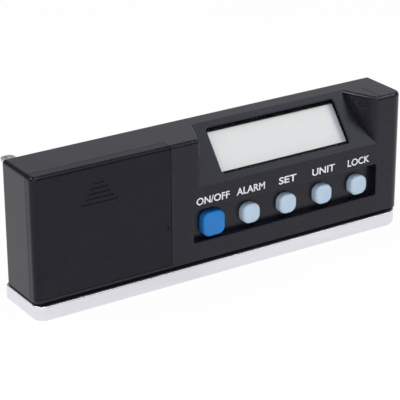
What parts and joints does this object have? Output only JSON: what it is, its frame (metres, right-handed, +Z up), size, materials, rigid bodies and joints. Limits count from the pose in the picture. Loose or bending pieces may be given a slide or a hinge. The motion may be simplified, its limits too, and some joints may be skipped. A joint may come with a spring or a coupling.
{
  "type": "digital inclinometer",
  "caption": "Handheld digital inclinometer: black plastic case with sloped display and key tray on a flat metal base, with a lift-off battery cover.",
  "frame": {"origin": "centre of the measuring face under the base", "axes": "+X along the base, towards the keys' end; +Y to the back of the case; +Z up"},
  "size_m": [0.1614, 0.0288, 0.0538],
  "materials": {
    "bare_aluminium": "fine ground, bare",
    "black_gasket": "matt black sheet",
    "screw_steel": "zinc plated",
    "case_plastic": "fine moulded texture, near black",
    "lug_steel": "satin, bent from sheet",
    "clear_window": "clear acrylic",
    "dark_frame": "matt black",
    "display_glass": "pale grey display cell",
    "reflector_foil": "diffuse foil",
    "contact_rubber": "striped silicone",
    "board_green": "solder mask on glass laminate",
    "socket_plastic": "natural nylon",
    "cable_grey": "flat cable",
    "switch_plastic": "moulded black",
    "chip_plastic": "moulded epoxy",
    "sensor_plastic": "moulded sensor housing",
    "crystal_can": "drawn steel can",
    "capacitor_can": "aluminium can",
    "blue_key": "satin blue",
    "pale_key": "satin pale blue",
    "battery_jacket": "plain painted jacket",
    "terminal_metal": "nickel plated",
    "snap_plastic": "soft vinyl",
    "red_lead": "vinyl insulation",
    "black_lead": "vinyl insulation",
    "grey_foam": "open cell foam"
  },
  "bodies": {
    "case": {"base_plate": "bare_aluminium", "base_gasket": "black_gasket", "base_screws": "screw_steel", "main_case": "case_plastic", "rear_cover": "case_plastic", "rear_screws": "screw_steel", "lug_screw": "screw_steel", "strap_lug": "lug_steel", "display_window": "clear_window", "lcd_frame": "dark_frame", "lcd_front_glass": "display_glass", "lcd_rear_glass": "display_glass", "lcd_reflector": "reflector_foil", "zebra_strips": "contact_rubber", "display_board": "board_green", "main_board": "board_green", "display_board_screws": "screw_steel", "main_board_screws": "screw_steel", "display_socket": "socket_plastic", "main_socket": "socket_plastic", "battery_connector": "socket_plastic", "ribbon_cable": "cable_grey", "switch_bodies": "switch_plastic", "microcontroller": "chip_plastic", "tilt_sensor": "sensor_plastic", "buzzer": "chip_plastic", "crystal": "crystal_can", "capacitors": "capacitor_can", "battery": "battery_jacket", "battery_terminals": "terminal_metal", "battery_snap": "snap_plastic", "battery_lead_red": "red_lead", "battery_lead_black": "black_lead", "battery_foam": "grey_foam"},
    "power_key": {"power_button": "blue_key", "power_plunger": "switch_plastic"},
    "alarm_key": {"alarm_button": "pale_key", "alarm_plunger": "switch_plastic"},
    "set_key": {"set_button": "pale_key", "set_plunger": "switch_plastic"},
    "unit_key": {"unit_button": "pale_key", "unit_plunger": "switch_plastic"},
    "lock_key": {"lock_button": "pale_key", "lock_plunger": "switch_plastic"},
    "cover": {"battery_cover": "case_plastic"}
  },
  "joints": [
    {"name": "power_press", "type": "slide", "parent": "case", "child": "power_key", "axis": [0, 1, 0], "range_m": [0, 0.0005], "stiffness_N_per_m": 2500},
    {"name": "alarm_press", "type": "slide", "parent": "case", "child": "alarm_key", "axis": [0, 1, 0], "range_m": [0, 0.0005], "stiffness_N_per_m": 2500},
    {"name": "set_press", "type": "slide", "parent": "case", "child": "set_key", "axis": [0, 1, 0], "range_m": [0, 0.0005], "stiffness_N_per_m": 2500},
    {"name": "unit_press", "type": "slide", "parent": "case", "child": "unit_key", "axis": [0, 1, 0], "range_m": [0, 0.0005], "stiffness_N_per_m": 2500},
    {"name": "lock_press", "type": "slide", "parent": "case", "child": "lock_key", "axis": [0, 1, 0], "range_m": [0, 0.0005], "stiffness_N_per_m": 2500},
    {"name": "cover_lift", "type": "slide", "parent": "case", "child": "cover", "axis": [0, 0, 1], "range_m": [0, 0.05]}
  ]
}
